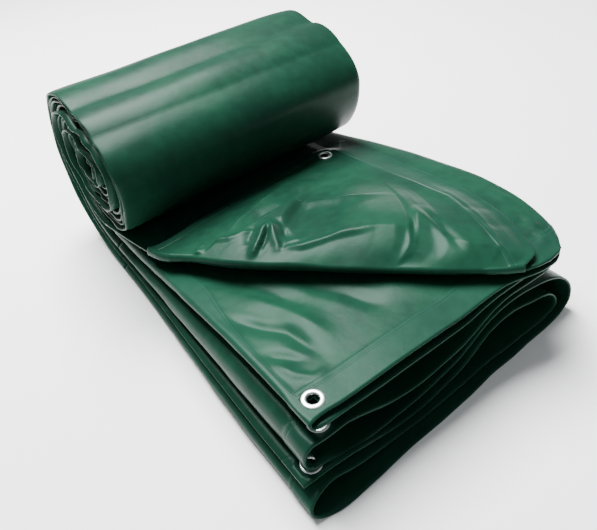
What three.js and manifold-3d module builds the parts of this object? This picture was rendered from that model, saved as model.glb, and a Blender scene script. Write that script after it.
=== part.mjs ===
// Folded tarpaulin: a strip of eight plies lies folded back and forth, its far end is rolled up on top of it,
// and the front left corner of the top ply is turned back over a soft diagonal crease.
// x runs along the roll, y from the loose front edge to the roll, z up, in millimetres.
import * as THREE from 'three';
import { mergeVertices } from 'three/addons/utils/BufferGeometryUtils.js';
import Module from 'manifold-3d';

const wasm = await Module();
wasm.setup();

// Cloth and strip
const CLOTH = 2;
const GAP = 0.3;
const STRIP_LENGTH = 640;
const PLY_STEP_UNDER_ROLL = 16.5;
const SETTLES = [60, STRIP_LENGTH];
const STATIONS = [0, 35, 80, 135, 200, 275, 355, 440, 530, STRIP_LENGTH];

// Height of each ply at the front, at these distances from the left, and where its front edge runs
const PLY_X = [18, 62, 150, 270, 350, 430];
const PLIES = {
  2: { heights: [140, 140, 143, 145, 148, 148], edge: [8, 14] },
  3: { heights: [131, 129, 127, 131, 139, 137], edge: [2, 14] },
  4: { heights: [107, 104, 75, 86, 117, 112], edge: [0, 18] },
  5: { heights: [54, 43, 33, 58, 97, 92], edge: [5, 20] },
  6: { heights: [46, 43, 17, 34, 72, 60], edge: [-2, 20] },
  7: { heights: [34, 26, 9, 12, 12, 9], edge: [-10, 12] },
  8: { heights: [1, 1, 1, 1, 1, 1], edge: [-30, 7] },
};

// Each fold joins two plies: how far out its tip is at the front and at the roll, the tip's height between
// the two plies, from 0 at the lower to 1 at the upper, and how much the loop swells above and below them
const FOLDS = {
  upperRight: { side: 1, tip: [458, 500], at: 0.5, swell: 4 },
  upperLeft: { side: -1, tip: [9, 6], at: 0.45, swell: 2 },
  middleRight: { side: 1, tip: [455, 505], at: 0.35, swell: 0 },
  middleLeft: { side: -1, tip: [-5, 2], at: 0.5, swell: 0 },
  outerRight: { side: 1, tip: [525, 512], at: 0.24, swell: 0 },
  lowerLeft: { side: -1, tip: [-18, 0], at: 0.5, swell: 0 },
  innerRight: { side: 1, tip: [495, 500], at: 0.28, swell: 0 },
};
const FOLD_STEPS = 7;
const FREE_EDGE = { x: [-14, 2], rise: 1 };

// Right side of the top fold, seen from above: it swings out behind the front corner
const TOP_FOLD_SIDE = [
  { y: -20, x: 440 },
  { y: 0, x: 453 },
  { y: 20, x: 466 },
  { y: 45, x: 482 },
  { y: 75, x: 500 },
  { y: 105, x: 515 },
  { y: 135, x: 526 },
  { y: 170, x: 534 },
  { y: 217, x: 541 },
  { y: 311, x: 546 },
  { y: 420, x: 546 },
  { y: 514, x: 534 },
  { y: 580, x: 520 },
  { y: STRIP_LENGTH, x: 505 },
];

// Top ply: its lower layer, the crease across it, and the corner that is turned back
const TOP_SHOULDER_X = 440;
const TOP_FREE_EDGE_X = -8;
const LOWER_LAYER_RISE = 14;
const CREASE = { left: { x: 12, y: 431 }, right: { x: 402, y: 12 }, bow: 34, radii: [6, 8, 8, 6] };
const BULGE = { rise: [3, 22, 26, 20, 5], peak: 0.13 };
const CREASE_STEPS = 8;
const FLAP_STEPS = 8;
const FLAP_COLUMNS = 18;
const FLAP_REST = 12;
const FLAP_FALL = 0.55;
const CORNER = { x: 477, y: 523 };
const EDGE_BY_ROLL = [
  CREASE.left,
  { x: 60, y: 431 },
  { x: 132, y: 447 },
  { x: 300, y: 490 },
  CORNER,
];
const EDGE_BY_SIDE = [
  CREASE.right,
  { x: 443, y: 98 },
  { x: 471, y: 200 },
  { x: 475, y: 350 },
  CORNER,
];

// Roll: distance of each turn's outer face from the middle, for eight directions; 0 points away from the front
const ROLL = { y: 610, z: 235, left: 4, right: 488, skew: 0.08, gap: 3, stations: 4, step: 15, end: 780 };
const TURNS = [
  { direction: -90, strip: 235, second: 107, third: 66, core: 20 },
  { direction: -45, strip: 252, second: 122, third: 80, core: 26 },
  { direction: 0, strip: 214, second: 142, third: 94, core: 34 },
  { direction: 45, strip: 142, second: 98, third: 60, core: 20 },
  { direction: 90, strip: 96, second: 60, third: 26, core: 8 },
  { direction: 135, strip: 104, second: 68, third: 30, core: 6 },
  { direction: 180, strip: 130, second: 88, third: 44, core: 6 },
  { direction: 225, strip: 127, second: 80, third: 36, core: 6 },
];
const LEFT_END_LOWER = 0.08;

// Eyelets: where each sits, and which ply carries it; a rolled ring holds a barrel through the cloth
const EYELETS = [
  { name: 'flap', x: 402, y: 483, ply: 1 },
  { name: 'upper', x: 33, y: 33, ply: 2 },
  { name: 'middle', x: 31, y: 24, ply: 4 },
  { name: 'lower', x: 12, y: 19, ply: 6 },
];
const EYELET = { outer: 15, bore: 8, barrel: 9.3, flange: 1.2, segments: 24 };
const PATCH = { half: 17.5, hole: 9.8, cutDepth: 8 };

const COLORS = { cloth: 0x1f5a40, hem: 0x236046, eyelet: 0xc9d3cf };

// Small helpers
const mix = THREE.MathUtils.lerp;
const smooth = THREE.MathUtils.smoothstep;
const radians = THREE.MathUtils.degToRad;

function through(values, share) {
  const points = values.map((value, index) => new THREE.Vector2(index / (values.length - 1), value));
  return new THREE.SplineCurve(points).getPoint(THREE.MathUtils.clamp(share, 0, 1)).y;
}

function sideAt(y) {
  const last = TOP_FOLD_SIDE.length - 1;
  const next = Math.max(TOP_FOLD_SIDE.findIndex((row) => row.y > y), 0) || last;
  const [a, b] = [TOP_FOLD_SIDE[next - 1], TOP_FOLD_SIDE[next]];
  const share = THREE.MathUtils.clamp((y - a.y) / (b.y - a.y), 0, 1);
  return through(TOP_FOLD_SIDE.map((row) => row.x), (next - 1 + share) / last);
}

function settled(y) {
  return smooth(y, ...SETTLES);
}

function plyHeight(ply, column, y) {
  const underRoll = 1 + PLY_STEP_UNDER_ROLL * (8 - ply);
  return mix(PLIES[ply].heights[column], underRoll, settled(y));
}

// A closed body between two matching grids of points
function slab(upper, lower) {
  const rows = upper.length;
  const columns = upper[0].length;
  const points = [...upper.flat(), ...lower.flat()];
  const faces = [];
  const at = (layer, row, column) => layer * rows * columns + row * columns + column;
  const quad = (a, b, c, d) => faces.push(a, b, c, a, c, d);
  for (let row = 0; row < rows - 1; row++) {
    for (let column = 0; column < columns - 1; column++) {
      quad(at(0, row, column), at(0, row, column + 1), at(0, row + 1, column + 1), at(0, row + 1, column));
      quad(at(1, row, column), at(1, row + 1, column), at(1, row + 1, column + 1), at(1, row, column + 1));
    }
  }
  for (let column = 0; column < columns - 1; column++) {
    quad(at(0, 0, column + 1), at(0, 0, column), at(1, 0, column), at(1, 0, column + 1));
    quad(at(0, rows - 1, column), at(0, rows - 1, column + 1), at(1, rows - 1, column + 1), at(1, rows - 1, column));
  }
  for (let row = 0; row < rows - 1; row++) {
    quad(at(0, row, 0), at(0, row + 1, 0), at(1, row + 1, 0), at(1, row, 0));
    quad(at(0, row + 1, columns - 1), at(0, row, columns - 1), at(1, row, columns - 1), at(1, row + 1, columns - 1));
  }
  const geometry = new THREE.BufferGeometry().setFromPoints(points);
  geometry.setIndex(faces);
  return geometry;
}

// Cloth of even thickness along a grid of points on its middle
function cloth(middle) {
  const rows = middle.length;
  const columns = middle[0].length;
  const half = CLOTH / 2;
  const offset = (row, column, side) => {
    const along = middle[row][Math.min(column + 1, columns - 1)].clone().sub(middle[row][Math.max(column - 1, 0)]);
    const across = middle[Math.min(row + 1, rows - 1)][column].clone().sub(middle[Math.max(row - 1, 0)][column]);
    const normal = along.cross(across).normalize();
    return middle[row][column].clone().addScaledVector(normal, side * half);
  };
  const layer = (side) => middle.map((line, row) => line.map((_, column) => offset(row, column, side)));
  return slab(layer(1), layer(-1));
}

function toManifold(geometry) {
  const bare = geometry.clone();
  bare.deleteAttribute('normal');
  bare.deleteAttribute('uv');
  const merged = mergeVertices(bare, 1e-4);
  const vertProperties = new Float32Array(merged.attributes.position.array);
  const triVerts = new Uint32Array(merged.index.array);
  const solid = new wasm.Manifold(new wasm.Mesh({ numProp: 3, vertProperties, triVerts }));
  if (solid.volume() < 0) {
    for (let i = 0; i < triVerts.length; i += 3) {
      [triVerts[i + 1], triVerts[i + 2]] = [triVerts[i + 2], triVerts[i + 1]];
    }
    return new wasm.Manifold(new wasm.Mesh({ numProp: 3, vertProperties, triVerts }));
  }
  return solid;
}

function toGeometry(solid) {
  const mesh = solid.getMesh();
  const positions = [];
  for (let i = 0; i < mesh.numVert; i++) {
    positions.push(...mesh.vertProperties.subarray(i * mesh.numProp, i * mesh.numProp + 3));
  }
  const geometry = new THREE.BufferGeometry();
  geometry.setAttribute('position', new THREE.Float32BufferAttribute(positions, 3));
  geometry.setIndex([...mesh.triVerts]);
  return geometry;
}

// Strip: one section of plies and folds for each station along it
function ply(number, fromLeft, y) {
  const row = PLIES[number];
  const columns = PLY_X.map((x, column) => ({
    x,
    z: plyHeight(number, column, y),
    front: mix(row.edge[0], row.edge[1], x / PLY_X.at(-1)),
  }));
  return fromLeft ? columns : columns.reverse();
}

function fold(name, start, end, y) {
  const { side, tip, at, swell } = FOLDS[name];
  const tipX = name === 'upperRight' ? sideAt(y) : mix(tip[0], tip[1], settled(y));
  const reach = Math.abs(tipX - start.x);
  const [upper, lower] = start.z > end.z ? [start.z, end.z] : [end.z, start.z];
  const middle = mix(lower, upper, at);
  const points = [];
  for (let step = 1; step < FOLD_STEPS; step++) {
    const turn = (Math.PI * step) / FOLD_STEPS;
    const rise = start.z > end.z ? Math.cos(turn) : -Math.cos(turn);
    const radius = (rise > 0 ? upper - middle : middle - lower) + swell * Math.sin(turn);
    points.push({
      x: mix(start.x, end.x, step / FOLD_STEPS) + side * reach * Math.sin(turn),
      z: middle + rise * radius,
      front: mix(start.front, end.front, step / FOLD_STEPS),
    });
  }
  return points;
}

function section(y) {
  const two = ply(2, false, y);
  const three = ply(3, true, y);
  const four = ply(4, false, y);
  const five = ply(5, true, y);
  const eight = ply(8, false, y);
  const seven = ply(7, true, y);
  const six = ply(6, false, y);
  const topHeight = lowerLayerHeight(y) - CLOTH / 2;
  const top = [TOP_SHOULDER_X - 30, TOP_SHOULDER_X - 12].map((x) => ({ x, z: topHeight, front: two[0].front }));
  const edgeX = mix(...FREE_EDGE.x, settled(y));
  const freeEdge = [{ x: edgeX, z: six.at(-1).z + FREE_EDGE.rise, front: six.at(-1).front }];
  return [
    ...top,
    ...fold('upperRight', top.at(-1), two[0], y),
    ...two,
    ...fold('upperLeft', two.at(-1), three[0], y),
    ...three,
    ...fold('middleRight', three.at(-1), four[0], y),
    ...four,
    ...fold('middleLeft', four.at(-1), five[0], y),
    ...five,
    ...fold('outerRight', five.at(-1), eight[0], y),
    ...eight,
    ...fold('lowerLeft', eight.at(-1), seven[0], y),
    ...seven,
    ...fold('innerRight', seven.at(-1), six[0], y),
    ...six,
    ...freeEdge,
  ];
}

function strip() {
  const grid = STATIONS.map((y) => {
    const frontFades = 1 - smooth(y, 0, 200);
    return section(y).map((point) => new THREE.Vector3(point.x, y + point.front * frontFades, point.z));
  });
  return cloth(grid);
}

// Top ply: lower layer behind the crease, the rolled crease, and the turned corner above it
function lowerLayerHeight(y) {
  return plyHeight(2, 4, y) + mix(LOWER_LAYER_RISE, PLY_STEP_UNDER_ROLL, settled(y));
}

function pointOn(rows, share) {
  const curve = new THREE.SplineCurve(rows.map((row) => new THREE.Vector2(row.x, row.y)));
  return curve.getPointAt(THREE.MathUtils.clamp(share, 0, 1));
}

function bulgeAt(forward) {
  const { peak } = BULGE;
  return forward < peak ? Math.sin((Math.PI / 2) * (forward / peak)) : 1 - smooth(forward, peak, FLAP_FALL);
}

function flapColumn(share) {
  const radius = through(CREASE.radii, share);
  const bow = (CREASE.bow * Math.sin(Math.PI * share)) / Math.SQRT2;
  const crease = pointOn(EDGE_BY_ROLL, 0).lerp(pointOn(EDGE_BY_SIDE, 0), share).subScalar(bow);
  const low = lowerLayerHeight(crease.y);
  const column = [];
  const turnShare = 0.42;
  const farX = share < turnShare ? mix(TOP_FREE_EDGE_X, TOP_SHOULDER_X, share / turnShare) : TOP_SHOULDER_X;
  const farY = share < turnShare ? STRIP_LENGTH : mix(STRIP_LENGTH, 18, (share - turnShare) / (1 - turnShare));
  for (const back of [1, 0.66, 0.33, 0.1]) {
    const y = mix(crease.y, farY, back);
    column.push(new THREE.Vector3(mix(crease.x, farX, back), y, lowerLayerHeight(y)));
  }
  for (let step = 0; step <= CREASE_STEPS; step++) {
    const turn = (Math.PI * step) / CREASE_STEPS;
    const out = (radius * Math.sin(turn)) / Math.SQRT2;
    column.push(new THREE.Vector3(crease.x - out, crease.y - out, low + radius * (1 - Math.cos(turn))));
  }
  for (let step = 1; step <= FLAP_STEPS; step++) {
    const forward = step / FLAP_STEPS;
    const left = pointOn(EDGE_BY_ROLL, forward);
    const right = pointOn(EDGE_BY_SIDE, forward);
    const place = left.lerp(right, forward === 1 ? 0.5 : share).subScalar(bow * (1 - forward));
    const swell = through(BULGE.rise, share) * bulgeAt(forward);
    const height = mix(2 * radius, FLAP_REST, smooth(forward, 0, FLAP_FALL)) + swell;
    const spread = forward === 1 ? (share - 0.5) * CLOTH : 0;
    column.push(new THREE.Vector3(place.x + spread, place.y - spread, lowerLayerHeight(place.y) + height));
  }
  return column;
}

function flap() {
  const columns = [];
  for (let index = 0; index <= FLAP_COLUMNS; index++) {
    columns.push(flapColumn(index / FLAP_COLUMNS));
  }
  return cloth(columns);
}

// Roll: the bundle of plies, wound up from under itself
function turnRadius(angle) {
  const radii = ['strip', 'second', 'third', 'core'].flatMap((turn) => TURNS.map((row) => row[turn]));
  const points = radii.map((radius, index) => new THREE.Vector2(index, radius));
  return new THREE.SplineCurve(points).getPoint((angle + 90) / 45 / (radii.length - 1)).y;
}

function rollPoint(x, angle, radius) {
  const turn = radians(angle);
  const leftEnd = 1 - smooth(x, ROLL.left, ROLL.right);
  const sag = 1 - LEFT_END_LOWER * leftEnd * Math.max(Math.sin(turn), 0);
  const middleY = ROLL.y + ROLL.skew * (x - (ROLL.left + ROLL.right) / 2);
  const y = middleY + radius * Math.cos(turn) * sag;
  return new THREE.Vector3(x, y, Math.max(ROLL.z + radius * Math.sin(turn) * sag, 0));
}

function roll() {
  const outer = [];
  const inner = [];
  for (let station = 0; station <= ROLL.stations; station++) {
    const x = mix(ROLL.left, ROLL.right, station / ROLL.stations);
    const [outside, inside] = [[], []];
    for (let angle = -90; angle <= ROLL.end; angle += ROLL.step) {
      outside.push(rollPoint(x, angle, turnRadius(angle)));
      inside.push(rollPoint(x, angle, turnRadius(Math.min(angle + 360, 1035)) + ROLL.gap));
    }
    outer.push(outside);
    inner.push(inside);
  }
  return slab(outer, inner);
}

// Eyelets, and the piece of hem that each one clamps, cut out of its ply
function seatOf(eyelet) {
  if (eyelet.ply === 1) {
    return new THREE.Vector3(eyelet.x, eyelet.y, lowerLayerHeight(eyelet.y) + FLAP_REST);
  }
  const share = (eyelet.x - PLY_X[0]) / (PLY_X[1] - PLY_X[0]);
  const height = mix(plyHeight(eyelet.ply, 0, eyelet.y), plyHeight(eyelet.ply, 1, eyelet.y), Math.max(share, 0));
  return new THREE.Vector3(eyelet.x, eyelet.y, height);
}

function patchGeometry() {
  const outline = new THREE.Shape();
  const { half } = PATCH;
  outline.moveTo(-half, -half).lineTo(half, -half).lineTo(half, half).lineTo(-half, half).closePath();
  outline.holes.push(new THREE.Path().absarc(0, 0, PATCH.hole, 0, 2 * Math.PI, true));
  const options = { depth: CLOTH, bevelEnabled: false, curveSegments: EYELET.segments / 2 };
  return new THREE.ExtrudeGeometry(outline, options).translate(0, 0, -CLOTH / 2);
}

function eyeletGeometry() {
  const { outer, bore, barrel, flange } = EYELET;
  const inner = CLOTH / 2 + GAP;
  const far = inner + flange;
  const profile = [
    [bore, -far + 0.4], [bore + 0.6, -far], [outer - 0.8, -far], [outer, -far + 0.5], [outer, -inner],
    [barrel, -inner], [barrel, inner], [outer, inner], [outer, far - 0.5], [outer - 0.8, far],
    [bore + 0.6, far], [bore, far - 0.4], [bore, -far + 0.4],
  ];
  const points = profile.map(([radius, height]) => new THREE.Vector2(radius, height));
  return new THREE.LatheGeometry(points, EYELET.segments).rotateX(Math.PI / 2);
}

const materials = {
  cloth: new THREE.MeshStandardMaterial({ color: COLORS.cloth, roughness: 0.45, metalness: 0 }),
  hem: new THREE.MeshStandardMaterial({ color: COLORS.hem, roughness: 0.45, metalness: 0 }),
  eyelet: new THREE.MeshStandardMaterial({ color: COLORS.eyelet, roughness: 0.3, metalness: 1 }),
};

const foldedTarp = new THREE.Group();

function addPiece(name, geometry, material, place) {
  const piece = new THREE.Mesh(geometry, material);
  piece.name = name;
  if (place) {
    piece.position.copy(place);
  }
  foldedTarp.add(piece);
  return piece;
}

let tarpSolid = toManifold(strip()).add(toManifold(flap())).add(toManifold(roll()));
for (const eyelet of EYELETS) {
  const seat = seatOf(eyelet);
  const width = 2 * (PATCH.half + GAP);
  const window = new THREE.BoxGeometry(width, width, PATCH.cutDepth).translate(seat.x, seat.y, seat.z);
  tarpSolid = tarpSolid.subtract(toManifold(window));
  addPiece(`hem_${eyelet.name}`, patchGeometry(), materials.hem, seat);
  addPiece(`eyelet_${eyelet.name}`, eyeletGeometry(), materials.eyelet, seat);
}
const tarp = addPiece('tarp', toGeometry(tarpSolid), materials.cloth);

const box = new THREE.Box3().setFromObject(tarp);
const middle = box.getCenter(new THREE.Vector3());
foldedTarp.position.set(-Math.round(middle.x), -Math.round(middle.y), 0);

export default foldedTarp;
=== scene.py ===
"""Folded tarpaulin: a strip of eight plies with its far end rolled up on it and one corner turned back."""

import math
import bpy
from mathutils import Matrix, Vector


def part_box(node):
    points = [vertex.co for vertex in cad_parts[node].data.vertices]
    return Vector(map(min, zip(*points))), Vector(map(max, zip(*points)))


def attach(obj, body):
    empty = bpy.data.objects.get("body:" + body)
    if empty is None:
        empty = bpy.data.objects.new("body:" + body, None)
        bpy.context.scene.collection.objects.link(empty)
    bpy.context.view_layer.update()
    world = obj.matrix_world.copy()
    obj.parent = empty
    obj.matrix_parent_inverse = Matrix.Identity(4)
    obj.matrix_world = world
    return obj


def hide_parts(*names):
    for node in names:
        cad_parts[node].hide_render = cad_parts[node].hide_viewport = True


bl_info = {
    "name": "Folded Tarpaulin",
    "version": (1, 0, 0),
    "blender": (4, 5, 0),
    "location": "View3D > Sidebar > Tarp",
    "description": "Builds the cloth, hems and eyelets of a folded tarpaulin over its packed solids",
    "category": "Add Mesh",
}

from collections import namedtuple

import bmesh
import bpy
from mathutils import Matrix, Vector, noise

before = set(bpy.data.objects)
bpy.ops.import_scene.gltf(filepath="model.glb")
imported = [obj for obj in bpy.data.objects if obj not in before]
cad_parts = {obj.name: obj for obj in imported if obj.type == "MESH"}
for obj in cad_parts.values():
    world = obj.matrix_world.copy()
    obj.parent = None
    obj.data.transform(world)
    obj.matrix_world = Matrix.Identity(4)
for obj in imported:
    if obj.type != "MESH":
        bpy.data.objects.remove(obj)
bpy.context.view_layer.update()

# The cloth is measured in millimetres, with x along the roll and y from the front edge.
# MIDDLE is where the frame's origin lies in those measures
MM = 0.001
MIDDLE = (264, 412)

# Strip: the height of each ply at the front, at each of PLY_X, and the step between plies at the roll.
# PLY_FRONT is how far a ply's front edge sets back, at its left and at its right
STRIP_LENGTH = 640
SETTLES_FROM = 60
PLY_STEP = 16.5
PLY_X = (18, 62, 150, 270, 350, 430)
PLY_HEIGHTS = {
    2: (140, 140, 143, 145, 148, 148),
    3: (131, 129, 127, 131, 139, 137),
    4: (107, 104, 75, 86, 117, 112),
    5: (54, 43, 33, 58, 97, 92),
    6: (46, 43, 17, 34, 72, 60),
    7: (34, 26, 9, 12, 12, 9),
    8: (0.7, 0.7, 0.7, 0.7, 0.7, 0.7),
}
PLY_FRONT = {2: (8, 14), 3: (2, 14), 4: (0, 18), 5: (5, 20), 6: (-2, 20), 7: (-10, 12), 8: (-32, 2)}

# Folds in the order of the path through the strip, each with the ply that follows it
Fold = namedtuple("Fold", "ply_after side tip_front tip_roll at swell")
FOLDS = (
    Fold(2, 1, 458, 500, 0.5, 4),
    Fold(3, -1, 9, 6, 0.45, 2),
    Fold(4, 1, 455, 505, 0.35, 0),
    Fold(5, -1, -5, 2, 0.5, 0),
    Fold(8, 1, 525, 512, 0.24, 0),
    Fold(7, -1, -18, 0, 0.5, 0),
    Fold(6, 1, 495, 500, 0.28, 0),
)
FOLD_STEPS = 7
FREE_EDGE = (-14, 2)

# How far the cloth wavers at its folds, inside a ply and along the front edge
FOLD_WAVER = 1.5
PLY_WAVER = 1.6
FRONT_WAVER = 2.2

# Front edge: how far back its shape reaches, the rounding of the right corner of plies 1 and 2,
# and how far the edge bows out beside it
FRONT_REACH = 200
ROUND_WIDTH = 30
ROUND_DEPTH = 20
FRONT_BOW = 15
FRONT_BOW_X = (340, 415)

# Side fold between plies 1 and 2: y and the x of its tip
TOP_FOLD_SIDE = (
    (-20, 446), (0, 456), (20, 477), (45, 495), (75, 508), (105, 518), (135, 526), (170, 533), (217, 541),
    (311, 546), (420, 546), (514, 534), (580, 520), (STRIP_LENGTH, 505),
)

# Top ply: its lower layer, the crease across it, and the corner that is turned back. The strip's own stub
# of this ply reaches in under it from the fold at the side
LOWER_LAYER_RISE = 14
SIDE_FOLD_X = 440
STUB_REACH = 45
STUB_DROP = 0.8
TOP_FREE_EDGE = -8
FAR_SHARE = 0.42
CREASE_LINE = (
    (12, 438), (18, 412), (54, 358), (81, 311), (118, 261), (158, 214), (190, 174), (207, 155), (266, 96),
    (325, 43), (350, 22), (372, 8),
)
CREASE_RADII = (6, 7, 8, 8, 7, 5)
LEAST_RADIUS = 4
STEEPEST = 1.0
CREASE_LENGTH = 600
CREASE_WAVER = 1.5
RADIUS_WAVER = 1.2
FLAP_WAVER = 1.2

# Turned corner: its two free edges, the weld beside one of them, and how it comes to rest
CORNER = (477, 523)
EDGE_BY_ROLL = ((12, 438), (30, 436), (60, 441), (100, 456), (178, 476), (300, 496), CORNER)
EDGE_BY_SIDE = ((372, 8), (402, 15), (424, 48), (444, 96), (463, 170), (472, 280), (478, 400), CORNER)
WELD_BY_SIDE = (
    (350, 12), (360, 38), (368, 62), (381, 92), (397, 136), (416, 189), (423, 268), (424, 338), (426, 420),
    (430, 540),
)
FLAP_REST = 12
FLAP_EDGE_REST = 6
FLAP_FALL = 0.55
FLAP_END = 0.985

# Humps behind the crease, by x less y of the crease: how far behind it each is highest, and how high
Hump = namedtuple("Hump", "mark distance height")
HUMPS = (
    Hump(-430, 5, 10), Hump(-350, 7, 11), Hump(-306, 9, 12), Hump(-290, 34, 25), Hump(-256, 35, 27),
    Hump(-229, 42, 31), Hump(-204, 48, 34), Hump(-178, 54, 37), Hump(-150, 36, 27), Hump(-122, 28, 24),
    Hump(-90, 29, 28), Hump(-62, 30, 29), Hump(-42, 34, 32), Hump(-18, 41, 38), Hump(8, 46, 41),
    Hump(50, 52, 43), Hump(92, 54, 42), Hump(122, 58, 38), Hump(140, 92, 33), Hump(166, 80, 32),
    Hump(196, 44, 30), Hump(245, 33, 27), Hump(292, 32, 24), Hump(323, 22, 16), Hump(345, 12, 10),
    Hump(364, 8, 8),
)

# Roll: its middle line and its ends, and the outer face of each turn in eight directions, from straight
# down by way of the back
ROLL_Y = 610
ROLL_Z = 235
ROLL_LEFT = 4
ROLL_RIGHT = 488
ROLL_SKEW = 0.08
LEFT_END_LOWER = 0.08
TURN_RADII = (
    (235, 252, 214, 142, 96, 104, 130, 127),
    (107, 122, 142, 98, 60, 68, 88, 80),
    (66, 80, 94, 60, 26, 30, 44, 36),
    (20, 26, 34, 20, 8, 6, 6, 6),
)
BUNDLE = 125
TURN_GAP = 3
LAST_TURN = 1035
END_WAVER = 4
TURN_WAVER = 2.2

# Creases: a ridge's height is above 0 and a trough's below it. left and right are its flanks' widths, and
# sharp is 1 where they meet in an edge
Crease = namedtuple("Crease", "height left right sharp points")
FLAP_CREASES = (
    Crease(6, 16, 30, 0.5, ((118, 340), (142, 343), (167, 340), (189, 346), (216, 347), (246, 349),
                            (280, 326), (318, 288), (352, 262))),
    Crease(-9, 30, 9, 0.35, ((134, 352), (160, 360), (188, 365), (231, 365), (256, 377), (282, 394),
                             (306, 384))),
    Crease(5, 26, 18, 0.4, ((121, 362), (164, 397), (201, 410), (252, 423), (285, 440), (316, 436))),
    Crease(7, 14, 7, 0.5, ((103, 272), (133, 290), (152, 306), (168, 322))),
    Crease(6, 7, 14, 0.5, ((172, 322), (158, 290), (147, 264), (140, 254))),
    Crease(-6, 8, 8, 0.6, ((122, 276), (142, 290), (158, 304))),
    Crease(-5, 16, 12, 0.5, ((116, 300), (134, 318), (150, 330))),
    Crease(-5, 12, 14, 0.5, ((186, 322), (176, 296), (168, 268))),
    Crease(5, 10, 14, 0.4, ((50, 350), (66, 362), (84, 374))),
    Crease(3.5, 12, 10, 0.5, ((84, 366), (94, 350), (106, 335), (126, 330), (146, 320), (158, 326))),
    Crease(4, 14, 10, 0.5, ((140, 258), (156, 250), (170, 234), (183, 227), (200, 218), (218, 207),
                            (240, 190), (258, 180))),
    Crease(3, 14, 8, 0.6, ((158, 262), (170, 258), (178, 250))),
    Crease(7, 42, 16, 0.5, ((352, 196), (332, 170), (306, 142), (280, 122), (244, 106))),
    Crease(-3, 14, 14, 0.4, ((352, 188), (340, 142), (327, 92), (320, 62))),
    Crease(-3, 22, 18, 0.3, ((300, 440), (320, 430), (345, 405))),
    Crease(2, 8, 22, 0.6, ((424, 330), (423, 268), (416, 189), (397, 136), (380, 92), (367, 66))),
    Crease(-1, 20, 16, 0.2, ((384, 92), (404, 86), (436, 80))),
    Crease(-0.8, 20, 18, 0.2, ((396, 154), (424, 134), (450, 128))),
)
PLY_CREASES = (
    Crease(-6, 26, 30, 0.3, ((40, 380), (77, 295), (105, 234), (121, 183), (137, 137))),
    Crease(-6, 16, 24, 0.6, ((30, 222), (54, 175), (75, 145), (84, 78))),
    Crease(-4, 12, 18, 0.6, ((26, 130), (48, 107), (64, 84))),
    Crease(4, 9, 14, 0.6, ((30, 109), (37, 79), (54, 57), (74, 60))),
    Crease(6, 40, 46, 0.2, ((150, 330), (190, 230), (240, 120), (300, 60))),
    Crease(5, 20, 26, 0.4, ((66, 250), (96, 180), (112, 100))),
    Crease(-4, 22, 22, 0.3, ((140, 210), (176, 150), (196, 90))),
)
SIDE_CREASES = (
    Crease(3.5, 7, 10, 0.8, ((400, 0), (418, 6), (436, 22), (448, 36), (465, 62), (481, 92), (491, 118),
                             (500, 160), (512, 230))),
    Crease(-3, 12, 12, 0.4, ((444, 84), (462, 80), (480, 80))),
    Crease(2.5, 12, 12, 0.4, ((440, 62), (456, 60), (470, 58))),
    Crease(-3, 12, 14, 0.4, ((414, 30), (426, 26), (438, 24))),
)

# Hem: its width, and its thickness in layers of cloth. The band along ply 2's left edge widens to the back
HEM = 46
HEM_LAYERS = 2.4
BAND_EDGE = 8
BAND_SCALE = (3.4, 1.3)
BAND_Y = (100, 320)

# Eyelet seats: how far round one the cloth is cut out, lies flat, and is drawn to the seat's height
OPENED_ROUND_BORE = 0.0115
FLAT_ROUND_SEAT = 17
FLAT_FADES_BY = 46


def mix(low, high, share):
    return low + (high - low) * share


def smooth(value, low, high):
    share = min(max((value - low) / (high - low), 0), 1)
    return share * share * (3 - 2 * share)


def wander(x, y, seed, scale):
    """Soft unevenness between -1 and 1."""
    return noise.noise(Vector((x / scale, y / scale, seed * 7.31)))


class Track:
    """A smooth line through points that may be far apart or close together."""

    def __init__(self, points):
        self.points = [Vector(point) for point in points]
        self.spans = [max((b - a).length, 1e-6) for a, b in zip(self.points, self.points[1:])]
        chords = [(b - a) / span for a, b, span in zip(self.points, self.points[1:], self.spans)]
        self.slopes = [chords[0]]
        for index in range(1, len(chords)):
            before, after = self.spans[index - 1], self.spans[index]
            self.slopes.append((chords[index - 1] * after + chords[index] * before) / (before + after))
        self.slopes.append(chords[-1])

    def at(self, mark):
        index = min(max(int(mark), 0), len(self.spans) - 1)
        share, span = mark - index, self.spans[index]
        square, cube = share * share, share ** 3
        return (
            self.points[index] * (2 * cube - 3 * square + 1)
            + self.slopes[index] * span * (cube - 2 * square + share)
            + self.points[index + 1] * (3 * square - 2 * cube)
            + self.slopes[index + 1] * span * (cube - square)
        )

    def along(self, share):
        """The point at a share of the whole length."""
        want = min(max(share, 0), 1) * sum(self.spans)
        for index, span in enumerate(self.spans):
            if want <= span or index == len(self.spans) - 1:
                return self.at(index + min(want / span, 1))
            want -= span


def nearest(points, x, y):
    """Distance from a line of points, its sign by the side, and how far along it the nearest point is."""
    best, done, total = None, 0.0, 0.0
    for (ax, ay), (bx, by) in zip(points, points[1:]):
        dx, dy = bx - ax, by - ay
        span = math.hypot(dx, dy)
        share = min(max(((x - ax) * dx + (y - ay) * dy) / (span * span), 0), 1)
        distance = math.hypot(x - ax - dx * share, y - ay - dy * share)
        if best is None or distance < abs(best):
            side = 1 if dx * (y - ay) - dy * (x - ax) > 0 else -1
            best, done = distance * side, total + span * share
        total += span
    return best, done, total


def crease_rise(creases, x, y):
    rise = 0.0
    for crease in creases:
        distance, done, total = nearest(crease.points, x, y)
        flank = crease.left if distance > 0 else crease.right
        share = abs(distance) / flank
        if share < 1:
            profile = mix(1 - smooth(share, 0, 1), (1 - share) ** 2, crease.sharp)
            taper = smooth(min(done, total - done) / total, -0.1, 0.3)
            rise += crease.height * profile * taper
    return rise


def settled(y):
    return smooth(y, SETTLES_FROM, STRIP_LENGTH)


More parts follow.
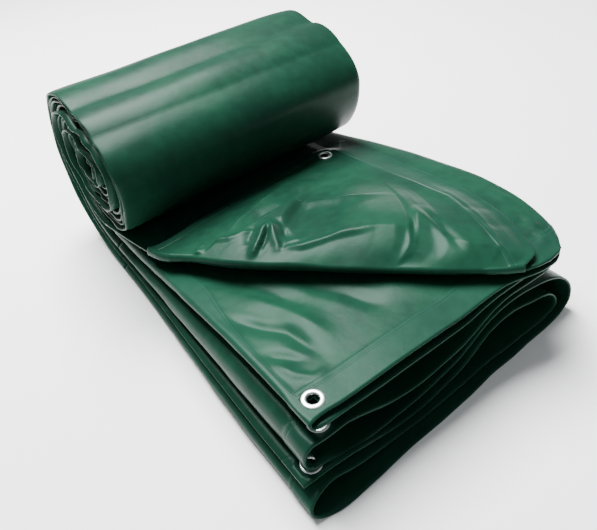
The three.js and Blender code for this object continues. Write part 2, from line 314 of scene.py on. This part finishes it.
def ply_height(ply, column, y):
    return mix(PLY_HEIGHTS[ply][column], PLY_HEIGHTS[8][0] + PLY_STEP * (8 - ply), settled(y))


def lower_layer_height(y):
    return ply_height(2, 4, y) + mix(LOWER_LAYER_RISE, PLY_STEP, settled(y))


def side_at(y):
    rows = TOP_FOLD_SIDE
    index = next((number for number, row in enumerate(rows) if row[0] > y), len(rows) - 1) - 1
    share = min(max((y - rows[index][0]) / (rows[index + 1][0] - rows[index][0]), 0), 1)
    return SIDE_TRACK.at(index + share).y


def roll_middle_y(x):
    return ROLL_Y + ROLL_SKEW * (x - (ROLL_LEFT + ROLL_RIGHT) / 2)


def crease_line_x(y):
    for (xa, ya), (xb, yb) in zip(CREASE_LINE, CREASE_LINE[1:]):
        if y >= yb:
            return mix(xb, xa, min((y - yb) / (ya - yb), 1))
    return CREASE_LINE[-1][0]


def flap_edge_x(y):
    for (xa, ya), (xb, yb) in zip(EDGE_BY_SIDE, EDGE_BY_SIDE[1:]):
        if y <= yb:
            return mix(xa, xb, max((y - ya) / (yb - ya), 0))
    return CORNER[0]


# Section across the strip at one distance from the front: x, height and how far the front edge sets back
def ply_points(ply, y):
    points = []
    for column, x in enumerate(PLY_X):
        points.append((x, ply_height(ply, column, y), mix(*PLY_FRONT[ply], x / PLY_X[-1])))
    return points if ply in (3, 5, 7) else points[::-1]


def fold_points(fold, start, end, y):
    tip = side_at(y) if fold is FOLDS[0] else mix(fold.tip_front, fold.tip_roll, settled(y))
    reach = abs(tip - start[0])
    upper, lower = max(start[1], end[1]), min(start[1], end[1])
    centre = mix(lower, upper, fold.at)
    points = []
    for step in range(1, FOLD_STEPS):
        turn = math.pi * step / FOLD_STEPS
        rise = math.cos(turn) if start[1] > end[1] else -math.cos(turn)
        radius = (upper - centre if rise > 0 else centre - lower) + fold.swell * math.sin(turn)
        x = mix(start[0], end[0], step / FOLD_STEPS) + fold.side * reach * math.sin(turn)
        points.append((x, centre + rise * radius, mix(start[2], end[2], step / FOLD_STEPS)))
    return points


def section_after(top, y):
    """The rest of the path, from the ends of the top ply that are given."""
    points = list(top)
    for fold in FOLDS:
        ply = ply_points(fold.ply_after, y)
        points += fold_points(fold, points[-1], ply[0], y) + ply
    points.append((mix(*FREE_EDGE, settled(y)), points[-1][1] + 1, points[-1][2]))
    return points


def marks_after(first, plies):
    """Where the columns lie along the path: steps for each fold, and for the five stretches of each ply."""
    steps = list(first)
    for fold in FOLDS:
        steps += [plies["fold"]] * FOLD_STEPS + list(plies.get(fold.ply_after, plies["other"]))
    steps.append(2)
    marks = [0.0]
    for index, count in enumerate(steps):
        marks += [index + (step + 1) / count for step in range(count)]
    return marks


def to_metres(x, y, z):
    return Vector(((x - MIDDLE[0]) * MM, (y - MIDDLE[1]) * MM, z * MM))


def cloth_grid(name, columns, rows, surface, material, thickness, holes=()):
    """A sheet; surface gives a vertex's place, its place on the flat cloth and the hem's distance."""
    sheet = bmesh.new()
    bmesh.ops.create_grid(sheet, x_segments=columns - 1, y_segments=rows - 1, size=1, calc_uvs=True)
    hem = sheet.verts.layers.float.new("hem")
    weights = sheet.verts.layers.deform.verify()
    flat = {}
    for vert in sheet.verts:
        column = round((vert.co.x + 1) / 2 * (columns - 1))
        row = round((vert.co.y + 1) / 2 * (rows - 1))
        (x, y, z), cloth_place, hem_distance = surface(column, row)
        doubled = 1 - smooth(hem_distance, HEM - 3, HEM + 2)
        vert.co = to_metres(x, y, max(z, thickness / MM / 2 * mix(1, HEM_LAYERS, doubled) + 0.05))
        vert[hem] = hem_distance * MM
        vert[weights][0] = doubled
        flat[vert] = (cloth_place[0] * MM, cloth_place[1] * MM)
    uv = sheet.loops.layers.uv.verify()
    for face in sheet.faces:
        face.smooth = True
        for loop in face.loops:
            loop[uv].uv = flat[loop.vert]
    opened = []
    for face in sheet.faces:
        middle = face.calc_center_median()
        if any((middle - hole).length < OPENED_ROUND_BORE for hole in holes):
            opened.append(face)
    bmesh.ops.delete(sheet, geom=opened, context="FACES")
    mesh = bpy.data.meshes.new(name)
    sheet.to_mesh(mesh)
    sheet.free()
    piece = bpy.data.objects.new(name, mesh)
    bpy.context.collection.objects.link(piece)
    mesh.materials.append(material)
    piece.vertex_groups.new(name="Hem")
    wall = piece.modifiers.new("Cloth", "SOLIDIFY")
    wall.thickness = HEM_LAYERS * thickness
    wall.offset = 0
    wall.vertex_group = "Hem"
    wall.thickness_vertex_group = 1 / HEM_LAYERS
    return piece


def seat_of(name):
    low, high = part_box(f"eyelet_{name}")
    return (Vector(low) + Vector(high)) / 2


def flatten_at(seat, x, y, z):
    """Draws the cloth to the height of an eyelet's seat round it."""
    seat_x, seat_y, seat_z = seat.x / MM + MIDDLE[0], seat.y / MM + MIDDLE[1], seat.z / MM
    distance = math.hypot(x - seat_x, y - seat_y)
    return mix(seat_z, z, smooth(distance, FLAT_ROUND_SEAT, FLAT_FADES_BY))


SIDE_TRACK = Track(TOP_FOLD_SIDE)
STRIP_ROWS = [4 * row for row in range(16)] + [64 + 576 * row / 88 for row in range(89)]
STRIP_STEPS = {
    "fold": 3,
    "other": (4, 5, 6, 4, 4),
    2: (18, 18, 26, 20, 10),
    4: (4, 4, 6, 6, 11),
    6: (4, 4, 6, 6, 11),
}
STRIP_MARKS = marks_after([3], STRIP_STEPS)


def strip_surface():
    tracks = []
    for y in STRIP_ROWS:
        stub_x = max(flap_edge_x(y) - STUB_REACH, crease_line_x(y) + 4)
        height = lower_layer_height(y) - STUB_DROP
        front = PLY_FRONT[2][1]
        top = [(stub_x, height, front), (max(stub_x + 18, SIDE_FOLD_X), height, front)]
        tracks.append(Track(section_after(top, y)))
    places = [tracks[0].at(mark) for mark in STRIP_MARKS]
    lengths = [0.0]
    for a, b in zip(places, places[1:]):
        lengths.append(lengths[-1] + (b - a).length)
    seats = {number: seat_of(name) for number, name in ((2, "upper"), (4, "middle"), (6, "lower"))}

    def surface(column, row):
        mark, y = STRIP_MARKS[column], STRIP_ROWS[row]
        x, z, front = tracks[row].at(mark)
        number, inside = ply_of(mark)
        seed = number + 3
        x += FOLD_WAVER * wander(y, z, seed, 70) * (1 - inside)
        z += inside * PLY_WAVER * wander(x, y, seed, 90) * smooth(y, 0, 90)
        if number < 3:
            corner = max(x - (side_at(y) - ROUND_WIDTH), 0) / ROUND_WIDTH
            front += ROUND_DEPTH * (1 - math.sqrt(max(1 - min(corner, 1) ** 2, 0)))
            front -= FRONT_BOW * smooth(x, *FRONT_BOW_X)
        set_back = front + FRONT_WAVER * wander(x, z, 40, 60)
        y_real = y + set_back * (1 - smooth(y, 0, FRONT_REACH))
        y_real += smooth(y, 300, STRIP_LENGTH) * (roll_middle_y(x) - STRIP_LENGTH)
        if number == 2:
            z += inside * crease_rise(PLY_CREASES, x, y_real)
        if mark < 1 + FOLD_STEPS / 2:
            z += crease_rise(SIDE_CREASES, x, y_real)
        if number in seats:
            z = flatten_at(seats[number], x, y_real, z)
        hem_distance = y
        if number == 2:
            hem_distance = min(y, max(x - BAND_EDGE, 0) * mix(*BAND_SCALE, smooth(y, *BAND_Y)))
        return (x, y_real, z), (500 + lengths[column], y), hem_distance

    return surface


def ply_of(mark):
    """The ply that a mark lies on, or is nearest to, and 1 inside it falling to 0 round the fold."""
    index = mark - 1
    turn = FOLD_STEPS + len(PLY_X) - 1
    fold = int(max(index, 0) // turn)
    rest = index - fold * turn
    if fold >= len(FOLDS):
        return 6, 1
    if rest < FOLD_STEPS:
        share = rest / FOLD_STEPS
        number = FOLDS[fold].ply_after if share > 0.5 else (FOLDS[fold - 1].ply_after if fold else 1)
        return number, max(abs(share - 0.5) * 2 - 0.4, 0) / 0.6
    return FOLDS[fold].ply_after, 1


TOP_COLUMNS = 210
TOP_ROWS = ([("lower", 1 - row / 20) for row in range(20)] + [("turn", row / 14) for row in range(14)]
            + [("flap", 0.4 * row / 150 + 0.6 * (row / 150) ** 2) for row in range(151)])


def top_surface():
    edge_left, edge_right, line = Track(EDGE_BY_ROLL), Track(EDGE_BY_SIDE), Track(CREASE_LINE)
    radii = Track([(index / 5, radius) for index, radius in enumerate(CREASE_RADII)])
    humps = Track([(hump.distance, hump.height) for hump in HUMPS])
    seat = seat_of("flap")

    def hump_at(mark):
        index = next((number for number, hump in enumerate(HUMPS) if hump.mark > mark), len(HUMPS) - 1)
        index = max(index, 1) - 1
        share = (mark - HUMPS[index].mark) / (HUMPS[index + 1].mark - HUMPS[index].mark)
        return humps.at(index + min(max(share, 0), 1))

    columns = []
    for column in range(TOP_COLUMNS):
        share = column / (TOP_COLUMNS - 1)
        crease = line.along(share)
        middle = math.sin(math.pi * share)
        uneven = CREASE_WAVER * wander(share * CREASE_LENGTH, 0, 5, 90) * middle
        crease = crease - Vector((uneven, uneven))
        bow = edge_left.along(0).lerp(edge_right.along(0), share) - crease
        radius = radii.along(share).y + RADIUS_WAVER * wander(share * CREASE_LENGTH, 0, 8, 60) * middle
        radius = max(radius, LEAST_RADIUS)
        distance, height = hump_at(crease.x - crease.y)
        slope = math.atan2(1.5 * max(height - 1.75 * radius, 0), distance)
        columns.append((share, crease, bow, radius, distance, height, math.pi - min(slope, STEEPEST)))

    def surface(column, row):
        share, crease, bow, radius, distance, height, last_turn = columns[column]
        part, along = TOP_ROWS[row]
        low = lower_layer_height(crease.y)
        hem_side = min(share, 1 - share) * 480
        if part == "lower":
            if share < FAR_SHARE:
                far = Vector((mix(TOP_FREE_EDGE, SIDE_FOLD_X, share / FAR_SHARE), 0))
                far.y = roll_middle_y(far.x)
            else:
                side_share = (share - FAR_SHARE) / (1 - FAR_SHARE)
                far = Vector((0, mix(roll_middle_y(SIDE_FOLD_X), PLY_FRONT[2][1], side_share)))
                far.x = min(SIDE_FOLD_X, flap_edge_x(far.y) - 8)
                far.x = max(far.x, crease_line_x(far.y) + 2)
            place = crease.lerp(far, along ** 1.4)
            z = lower_layer_height(place.y)
            flat = place
        elif part == "turn":
            turn = last_turn * along
            out = radius * math.sin(turn) / math.sqrt(2)
            place = crease - Vector((out, out))
            z = low + radius * (1 - math.cos(turn))
            flat = crease - Vector((radius * turn, radius * turn)) / math.sqrt(2)
        else:
            forward = along * FLAP_END
            left, right = edge_left.along(forward), edge_right.along(forward)
            length = (edge_left.along(1) - crease).length
            behind = forward * length / distance
            out = radius * math.sin(last_turn) / math.sqrt(2) * max(1 - behind, 0)
            place = left.lerp(right, share) - bow * (1 - forward) - Vector((out, out))
            start = radius * (1 - math.cos(last_turn))
            if behind < 1:
                lift = start + (height - start) * mix(behind, math.sin(math.pi / 2 * behind), 0.2)
            else:
                top_share = distance / length
                fallen = smooth(forward, top_share, max(FLAP_FALL, top_share + 0.1))
                lift = mix(height, rest_at(place), fallen)
            z = mix(low, lower_layer_height(place.y), min(behind, 1)) + lift
            z += crease_rise(FLAP_CREASES, place.x, place.y) * smooth(behind, 0, 0.25)
            z += FLAP_WAVER * wander(place.x, place.y, 12, 55) * min(behind, 1)
            z = flatten_at(seat, place.x, place.y, z)
            flat = Vector((-place.x, -place.y))
            hem_side = min(abs(nearest(EDGE_BY_ROLL, place.x, place.y)[0]) + 30,
                           max(HEM + nearest(WELD_BY_SIDE, place.x, place.y)[0], 0))
        return (place.x, place.y, z), (flat.x, flat.y), hem_side

    return surface


def rest_at(place):
    """Height of the turned corner over the lower layer: it lies closer along its edges."""
    edge = min(abs(nearest(line, place.x, place.y)[0]) for line in (EDGE_BY_SIDE, EDGE_BY_ROLL))
    return mix(FLAP_EDGE_REST, FLAP_REST, smooth(edge, 0, 60))


ROLL_ANGLES = [-90 + 3 * step for step in range(121)] + [270 + 7.5 * step for step in range(1, 89)]
ROLL_STEPS = {"fold": 2, "other": (2, 3, 3, 3, 2), 8: (5, 8, 10, 8, 6)}
ROLL_MARKS = marks_after([2, 2, 3, 4, 3, 3], ROLL_STEPS)


def roll_surface():
    top = [(TOP_FREE_EDGE, 0)] + [(x, 0) for x in PLY_X]
    height = lower_layer_height(STRIP_LENGTH)
    path = Track(section_after([(x, height, 0) for x, _ in top], STRIP_LENGTH))
    places = [path.at(mark) for mark in ROLL_MARKS]
    radii = Track([(index, radius) for index, radius in enumerate(r for turn in TURN_RADII for r in turn)])
    last = len(TURN_RADII) * 8 - 1

    def radius_at(angle):
        return radii.at(min((angle + 90) / 45, last)).y

    lengths = [0.0]
    for a, b in zip(ROLL_ANGLES, ROLL_ANGLES[1:]):
        lengths.append(lengths[-1] + radius_at((a + b) / 2) * math.radians(b - a))
    across = [0.0]
    for a, b in zip(places, places[1:]):
        across.append(across[-1] + (b - a).length)

    def surface(column, row):
        angle = ROLL_ANGLES[row]
        x, depth, _ = places[column]
        outer = radius_at(angle)
        inner = radius_at(min(angle + 360, LAST_TURN)) + TURN_GAP
        loose = smooth(angle, -80, -20)
        share = depth / BUNDLE
        x += loose * END_WAVER * wander(angle * 3, depth * 3, 21, 60) * (1 - smooth(x, 20, 40))
        radius = outer - share * (outer - inner)
        radius += loose * TURN_WAVER * wander(x, angle * 4, 23, 120) * (1 - share)
        turn = math.radians(angle)
        left_end = 1 - smooth(x, ROLL_LEFT, ROLL_RIGHT)
        sag = 1 - LEFT_END_LOWER * left_end * max(math.sin(turn), 0)
        y = roll_middle_y(x) + radius * math.cos(turn) * sag
        z = ROLL_Z + radius * math.sin(turn) * sag
        return (x, y, z), (across[column], STRIP_LENGTH + lengths[row]), 300

    return surface


class Value:
    """A shader value; arithmetic on it adds Math nodes."""

    def __init__(self, shader, socket):
        self.shader = shader
        self.socket = socket

    def math(self, operation, *values):
        return self.shader.node("ShaderNodeMath", {"operation": operation}, dict(enumerate(values)))

    def __add__(self, other):
        return self.math("ADD", self, other)

    def __sub__(self, other):
        return self.math("SUBTRACT", self, other)

    def __rsub__(self, other):
        return self.math("SUBTRACT", other, self)

    def __mul__(self, other):
        return self.math("MULTIPLY", self, other)

    __radd__ = __add__
    __rmul__ = __mul__


class Shader:
    """A material whose nodes are made by one method."""

    def __init__(self, name):
        self.material = bpy.data.materials.new(name)
        self.material.use_nodes = True
        self.tree = self.material.node_tree
        self.tree.nodes.clear()

    def node(self, kind, settings=None, inputs=None, out=0):
        made = self.tree.nodes.new(kind)
        for key, value in (settings or {}).items():
            setattr(made, key, value)
        for key, value in (inputs or {}).items():
            if isinstance(value, Value):
                self.tree.links.new(value.socket, made.inputs[key])
            else:
                made.inputs[key].default_value = value
        return Value(self, made.outputs[out])

    def band(self, value, low, high):
        return self.node("ShaderNodeMapRange", {"interpolation_type": "SMOOTHSTEP"},
                         {"Value": value, "From Min": low, "From Max": high})

    def finish(self, **inputs):
        surface = self.tree.nodes.new("ShaderNodeBsdfPrincipled")
        for key, value in inputs.items():
            socket = surface.inputs[key.replace("_", " ")]
            if isinstance(value, Value):
                self.tree.links.new(value.socket, socket)
            else:
                socket.default_value = value
        output = self.tree.nodes.new("ShaderNodeOutputMaterial")
        self.tree.links.new(surface.outputs[0], output.inputs["Surface"])
        return self.material


def rgba(colour):
    return (*colour[:3], 1)


def cloth_material(name, colours, sizes):
    shader = Shader(name)
    flat = shader.node("ShaderNodeUVMap", {"uv_map": "UVMap"})
    place = shader.node("ShaderNodeTexCoord", {}, {}, "Object")
    hem = shader.node("ShaderNodeAttribute", {"attribute_name": "hem"}, {}, "Fac")
    width = sizes.hem_width
    in_hem = 1 - shader.band(hem, width - 0.0012, width + 0.0004)
    past_weld = shader.band(hem, width - 0.0072, width - 0.006)
    # Weld line: a groove in the bump, and tinted lighter towards the hem green as a painted highlight along
    # its lip.
    weld_groove_and_highlight = shader.band(hem, width - 0.010, width - 0.0088) * (1 - past_weld)
    cloud = shader.node("ShaderNodeTexNoise", {}, {"Vector": place, "Scale": 7.0, "Detail": 3.0})
    mottle = shader.node("ShaderNodeTexNoise", {}, {"Vector": place, "Scale": 55.0, "Detail": 4.0})
    grain = shader.node("ShaderNodeTexNoise", {}, {"Vector": flat, "Scale": 900.0, "Detail": 2.0})
    warp = shader.node("ShaderNodeTexWave", {"wave_type": "BANDS", "bands_direction": "X"},
                       {"Vector": flat, "Scale": 190.0, "Distortion": 0.6})
    weft = shader.node("ShaderNodeTexWave", {"wave_type": "BANDS", "bands_direction": "Y"},
                       {"Vector": flat, "Scale": 190.0, "Distortion": 0.6})
    tone = shader.band(cloud * 0.7 + mottle * 0.3, 0.35, 0.65)
    plain = shader.node("ShaderNodeMix", {"data_type": "RGBA"},
                        {"Factor": tone, 6: rgba(colours.cloth_dark), 7: rgba(colours.cloth)}, 2)
    # The hem band takes the hem green; the weld line takes more of it as a painted highlight.
    coloured = shader.node("ShaderNodeMix", {"data_type": "RGBA"},
                           {"Factor": in_hem * 0.3 + weld_groove_and_highlight * 0.2, 6: plain, 7: rgba(colours.hem)}, 2)
    roughness = 0.27 + mottle * 0.1 + cloud * 0.06
    weave = (warp + weft) * 0.00006
    height = weave + in_hem * 0.0007 - weld_groove_and_highlight * 0.0004 + mottle * 0.0006 + grain * 0.00003
    bump = shader.node("ShaderNodeBump", {}, {"Strength": 0.6, "Distance": 1.0, "Height": height})
    return shader.finish(Base_Color=coloured, Roughness=roughness, Normal=bump, Specular_IOR_Level=0.08,
                         Specular_Tint=(0.7, 1.0, 0.88, 1))


def metal_material(name, colours):
    shader = Shader(name)
    place = shader.node("ShaderNodeTexCoord", {}, {}, "Object")
    wear = shader.node("ShaderNodeTexNoise", {}, {"Vector": place, "Scale": 220.0, "Detail": 3.0})
    tint = shader.node("ShaderNodeMix", {"data_type": "RGBA"},
                       {"Factor": wear, 6: rgba(colours.metal), 7: (0.86, 0.9, 0.88, 1)}, 2)
    bump = shader.node("ShaderNodeBump", {}, {"Strength": 0.3, "Distance": 1.0, "Height": wear * 0.0002})
    return shader.finish(Base_Color=tint, Metallic=1.0, Roughness=0.25 + wear * 0.15, Normal=bump)


def floor_material(name, colours):
    shader = Shader(name)
    place = shader.node("ShaderNodeTexCoord", {}, {}, "Object")
    cloud = shader.node("ShaderNodeTexNoise", {}, {"Vector": place, "Scale": 3.0, "Detail": 2.0})
    tint = shader.node("ShaderNodeMix", {"data_type": "RGBA"},
                       {"Factor": cloud, 6: rgba(colours.floor), 7: (0.93, 0.93, 0.93, 1)}, 2)
    return shader.finish(Base_Color=tint, Roughness=0.9)


class TarpSizes(bpy.types.PropertyGroup):
    """Sizes of the cloth and its fittings"""

    thickness: bpy.props.FloatProperty(
        name="Cloth thickness", description="Thickness of the coated cloth", default=0.0013,
        min=0.0005, max=0.003, subtype="DISTANCE", unit="LENGTH")
    hem_width: bpy.props.FloatProperty(
        name="Hem width", description="Width of the welded hem", default=HEM * MM,
        min=0.02, max=0.1, subtype="DISTANCE", unit="LENGTH")
    ring_outer: bpy.props.FloatProperty(
        name="Eyelet radius", description="Outer radius of an eyelet's ring", default=0.015,
        min=0.008, max=0.03, subtype="DISTANCE", unit="LENGTH")
    ring_bore: bpy.props.FloatProperty(
        name="Eyelet bore", description="Radius of an eyelet's bore", default=0.008,
        min=0.004, max=0.02, subtype="DISTANCE", unit="LENGTH")
    ring_height: bpy.props.FloatProperty(
        name="Eyelet height", description="How far a ring's rim stands from the middle of the cloth",
        default=0.0025, min=0.001, max=0.005, subtype="DISTANCE", unit="LENGTH")


class TarpColours(bpy.types.PropertyGroup):
    """Colours of the cloth, the eyelets and the stage"""

    cloth: bpy.props.FloatVectorProperty(
        name="Cloth", description="Green of the coated cloth", default=(0.006, 0.04, 0.022),
        subtype="COLOR", min=0, max=1)
    cloth_dark: bpy.props.FloatVectorProperty(
        name="Cloth, darker", description="Green of the duller patches", default=(0.005, 0.026, 0.016),
        subtype="COLOR", min=0, max=1)
    # Green of the doubled hem, also mixed in along the weld line as a painted highlight.
    hem: bpy.props.FloatVectorProperty(
        name="Hem", description="Green of the doubled hem", default=(0.009, 0.042, 0.028),
        subtype="COLOR", min=0, max=1)
    metal: bpy.props.FloatVectorProperty(
        name="Eyelet metal", description="Colour of the eyelets", default=(0.74, 0.8, 0.77),
        subtype="COLOR", min=0, max=1)
    floor: bpy.props.FloatVectorProperty(
        name="Floor", description="Colour of the floor", default=(0.9, 0.9, 0.9),
        subtype="COLOR", min=0, max=1)


def tarp_cloth(context):
    made = bpy.data.materials.get("Coated cloth")
    return made or cloth_material("Coated cloth", context.scene.tarp_colours, context.scene.tarp_sizes)


class TARP_OT_strip(bpy.types.Operator):
    """Build the strip: the plies that lie folded back and forth, and the folds between them"""

    bl_idname = "tarp.strip"
    bl_label = "Strip"

    def execute(self, context):
        holes = [seat_of(name) for name in ("upper", "middle", "lower")]
        strip = cloth_grid("strip", len(STRIP_MARKS), len(STRIP_ROWS), strip_surface(), tarp_cloth(context),
                           context.scene.tarp_sizes.thickness, holes)
        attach(strip, "root")
        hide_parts("tarp", "hem_upper", "hem_middle", "hem_lower")
        return {"FINISHED"}


class TARP_OT_top_ply(bpy.types.Operator):
    """Build the top ply, with the corner that is turned back over its crease"""

    bl_idname = "tarp.top_ply"
    bl_label = "Top ply"

    def execute(self, context):
        top = cloth_grid("top_ply", TOP_COLUMNS, len(TOP_ROWS), top_surface(), tarp_cloth(context),
                         context.scene.tarp_sizes.thickness, [seat_of("flap")])
        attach(top, "root")
        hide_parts("hem_flap")
        return {"FINISHED"}


class TARP_OT_roll(bpy.types.Operator):
    """Build the roll: the same plies wound up on the strip"""

    bl_idname = "tarp.roll"
    bl_label = "Roll"

    def execute(self, context):
        roll = cloth_grid("roll", len(ROLL_MARKS), len(ROLL_ANGLES), roll_surface(), tarp_cloth(context),
                          context.scene.tarp_sizes.thickness)
        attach(roll, "root")
        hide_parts("tarp")
        return {"FINISHED"}


class TARP_OT_eyelets(bpy.types.Operator):
    """Build the rings that are pressed into the hem"""

    bl_idname = "tarp.eyelets"
    bl_label = "Eyelets"

    def execute(self, context):
        sizes = context.scene.tarp_sizes
        metal = metal_material("Eyelet metal", context.scene.tarp_colours)
        for name in ("flap", "upper", "middle", "lower"):
            ring = self.ring(f"ring_{name}", sizes, seat_of(name))
            ring.data.materials.append(metal)
            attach(ring, "root")
            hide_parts(f"eyelet_{name}")
        return {"FINISHED"}

    def ring(self, name, sizes, seat):
        outer, bore, height = sizes.ring_outer, sizes.ring_bore, sizes.ring_height
        cloth = sizes.thickness / 2
        grip = cloth + 0.0002
        profile = (
            (bore, -height * 0.7), (bore, height * 0.5), (bore + 0.0008, height * 0.88),
            (bore + 0.0026, height), (outer - 0.0022, height * 0.92), (outer - 0.0006, height * 0.66),
            (outer, grip),
            (bore + 0.0015, grip), (bore + 0.0015, -grip), (outer, -grip), (outer - 0.0008, -height * 0.8),
            (bore + 0.001, -height),
        )
        shape = bmesh.new()
        verts = [shape.verts.new((radius, 0, z)) for radius, z in profile]
        edges = [shape.edges.new(pair) for pair in zip(verts, verts[1:] + verts[:1])]
        bmesh.ops.spin(shape, geom=verts + edges, cent=(0, 0, 0), axis=(0, 0, 1), dvec=(0, 0, 0),
                       angle=2 * math.pi, steps=48, use_merge=True)
        bmesh.ops.remove_doubles(shape, verts=shape.verts, dist=1e-6)
        bmesh.ops.recalc_face_normals(shape, faces=shape.faces)
        bmesh.ops.translate(shape, verts=shape.verts, vec=seat)
        for face in shape.faces:
            face.smooth = True
        mesh = bpy.data.meshes.new(name)
        shape.to_mesh(mesh)
        shape.free()
        piece = bpy.data.objects.new(name, mesh)
        bpy.context.collection.objects.link(piece)
        return piece


class TARP_OT_stage(bpy.types.Operator):
    """Set up the floor, the lights and the camera"""

    bl_idname = "tarp.stage"
    bl_label = "Stage"

    lights = (
        ("Overhead", (0.1, 1.3, 3.0), (0.0, 0.0, 0.0), 2.0, 560),
    )

    def execute(self, context):
        floor = bmesh.new()
        bmesh.ops.create_grid(floor, x_segments=8, y_segments=8, size=6)
        mesh = bpy.data.meshes.new("floor")
        floor.to_mesh(mesh)
        floor.free()
        ground = bpy.data.objects.new("floor", mesh)
        bpy.context.collection.objects.link(ground)
        mesh.materials.append(floor_material("Pale floor", context.scene.tarp_colours))
        for name, place, aim, size, power in self.lights:
            lamp = bpy.data.lights.new(name, "AREA")
            lamp.shape = "SQUARE"
            lamp.size = size
            lamp.energy = power
            light = bpy.data.objects.new(name, lamp)
            bpy.context.collection.objects.link(light)
            turn = (Vector(aim) - Vector(place)).to_track_quat("-Z", "Y").to_matrix().to_4x4()
            light.matrix_world = Matrix.Translation(place) @ turn
        world = bpy.data.worlds.new("Studio")
        world.use_nodes = True
        sky = world.node_tree.nodes["Background"]
        sky.inputs["Color"].default_value = (0.93, 0.96, 1.0, 1)
        sky.inputs["Strength"].default_value = 0.4
        context.scene.world = world
        self.camera(context)
        return {"FINISHED"}

    def camera(self, context):
        yaw, pitch, tilt = (math.radians(angle) for angle in (32.396, 38.765, -5.910))
        ahead = Vector((math.sin(yaw) * math.cos(pitch), math.cos(yaw) * math.cos(pitch), -math.sin(pitch)))
        right = ahead.cross(Vector((0, 0, 1))).normalized()
        up = right.cross(ahead)
        cos, sin = math.cos(tilt), math.sin(tilt)
        right, up = right * cos + up * sin, up * cos - right * sin
        lens = bpy.data.cameras.new("Camera")
        lens.sensor_fit = "HORIZONTAL"
        lens.sensor_width = 36
        lens.lens = 35.77
        camera = bpy.data.objects.new("Camera", lens)
        bpy.context.collection.objects.link(camera)
        turn = Matrix((right, up, -ahead)).transposed().to_4x4()
        camera.matrix_world = Matrix.Translation((-0.46502, -0.74664, 0.68993)) @ turn
        context.scene.camera = camera


class TARP_PT_panel(bpy.types.Panel):
    """Lists the steps that build the tarp"""

    bl_idname = "TARP_PT_panel"
    bl_label = "Folded Tarpaulin"
    bl_space_type = "VIEW_3D"
    bl_region_type = "UI"
    bl_category = "Tarp"

    def draw(self, context):
        for group in (context.scene.tarp_sizes, context.scene.tarp_colours):
            for name in group.__annotations__:
                self.layout.prop(group, name)
        for step in STEPS:
            self.layout.operator(step.bl_idname)


STEPS = (TARP_OT_stage, TARP_OT_strip, TARP_OT_top_ply, TARP_OT_roll, TARP_OT_eyelets)
CLASSES = (TarpSizes, TarpColours, *STEPS, TARP_PT_panel)


def register():
    for item in CLASSES:
        bpy.utils.register_class(item)
    bpy.types.Scene.tarp_sizes = bpy.props.PointerProperty(type=TarpSizes)
    bpy.types.Scene.tarp_colours = bpy.props.PointerProperty(type=TarpColours)


def unregister():
    del bpy.types.Scene.tarp_colours
    del bpy.types.Scene.tarp_sizes
    for item in reversed(CLASSES):
        bpy.utils.unregister_class(item)


def main():
    register()
    bpy.ops.tarp.stage()
    bpy.ops.tarp.strip()
    bpy.ops.tarp.top_ply()
    bpy.ops.tarp.roll()
    bpy.ops.tarp.eyelets()


if __name__ == "__main__":
    main()
